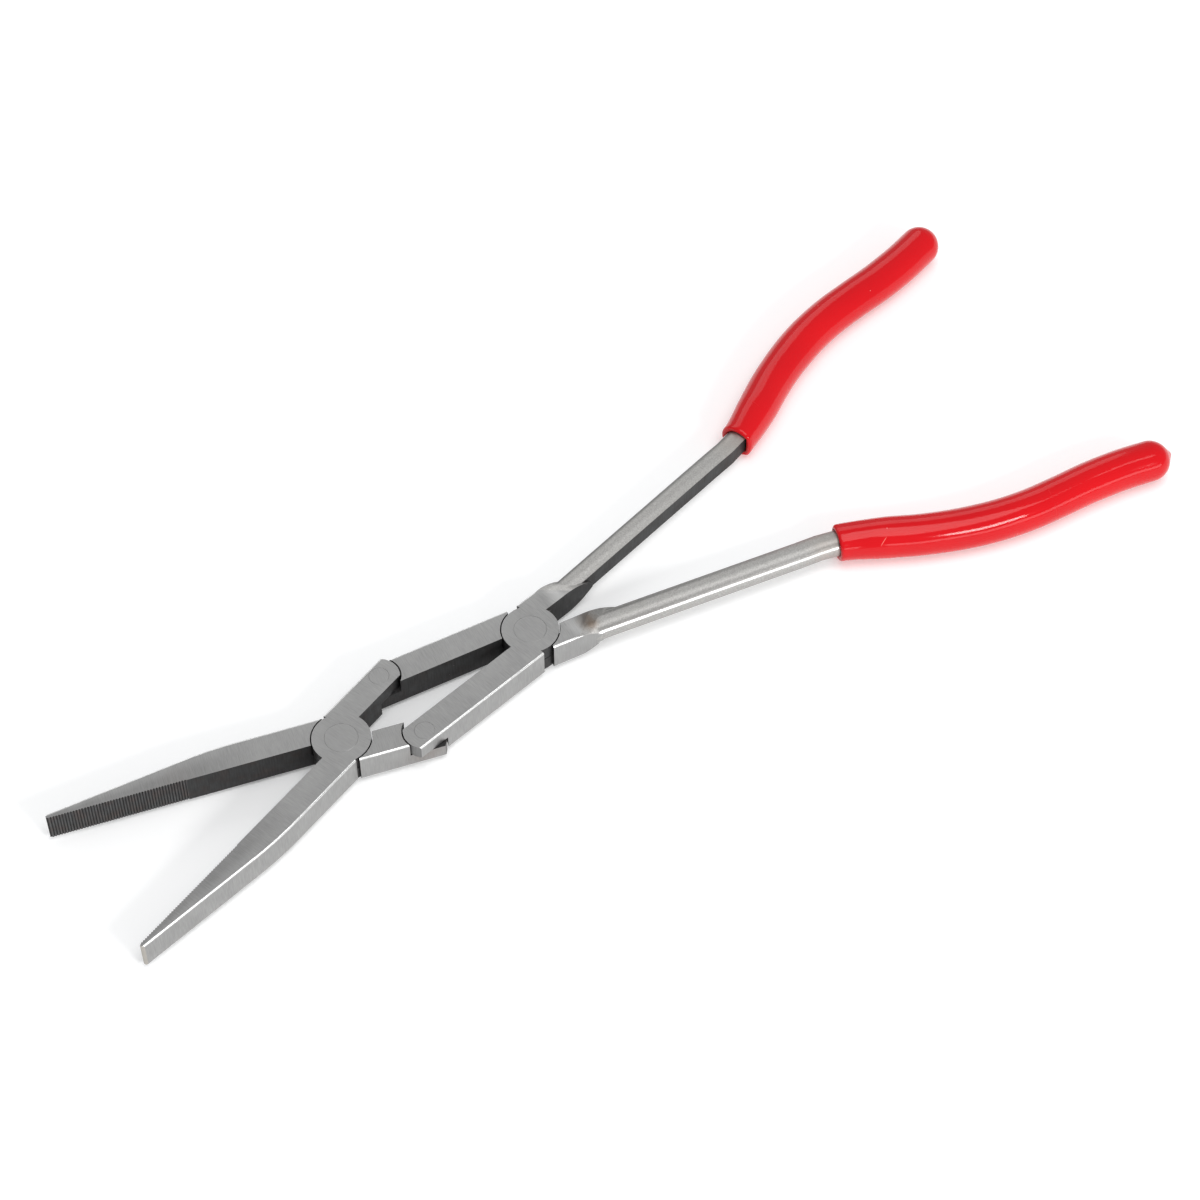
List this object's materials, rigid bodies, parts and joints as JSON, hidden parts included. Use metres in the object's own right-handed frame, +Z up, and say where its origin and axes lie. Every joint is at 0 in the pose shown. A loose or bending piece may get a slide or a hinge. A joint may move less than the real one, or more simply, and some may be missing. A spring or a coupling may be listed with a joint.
{
  "type": "long-reach pliers",
  "caption": "Long-reach flat-nose pliers with a double joint: two serrated jaws on riveted levers with dipped vinyl grips.",
  "frame": {"origin": "under the middle of the whole tool lying flat, on the surface it lies on", "axes": "+X from the handles towards the jaw tips, +Z up out of the flat side, +Y to the left jaw; the tool is stored open"},
  "size_m": [0.3224, 0.1154, 0.012],
  "materials": {
    "ground_steel": "cross-ground flats, satin sides and rods, black oxide on inner faces and teeth",
    "rivet_steel": "peened and ground flush",
    "dipped_vinyl": "glossy dipped vinyl"
  },
  "bodies": {
    "right_lever": {"right_lever": "ground_steel", "right_grip": "dipped_vinyl", "rear_rivet": "rivet_steel", "left_link_rivet": "rivet_steel"},
    "left_lever": {"left_lever": "ground_steel", "left_grip": "dipped_vinyl", "right_link_rivet": "rivet_steel"},
    "right_jaw": {"right_jaw": "ground_steel"},
    "left_jaw": {"left_jaw": "ground_steel", "front_rivet": "rivet_steel"}
  },
  "joints": [
    {"name": "handle_squeeze", "type": "hinge", "parent": "right_lever", "child": "left_lever", "pos_m": [0.02352, 0, 0.006], "axis": [0, 0, 1], "range_deg": [-2, 16.4]},
    {"name": "left_link_pivot", "type": "hinge", "parent": "right_lever", "child": "right_jaw", "pos_m": [0.06558, 0.01102, 0.006], "axis": [0, 0, 1], "range_deg": [-3.2, 25.4]},
    {"name": "right_link_pivot", "type": "hinge", "parent": "left_lever", "child": "left_jaw", "pos_m": [0.06558, -0.01102, 0.006], "axis": [0, 0, 1], "range_deg": [-25.4, 3.2]}
  ],
  "couplings": [
    {"joint": "left_link_pivot", "follows": "handle_squeeze", "ratio": 1.536},
    {"joint": "right_link_pivot", "follows": "handle_squeeze", "ratio": -1.536}
  ]
}
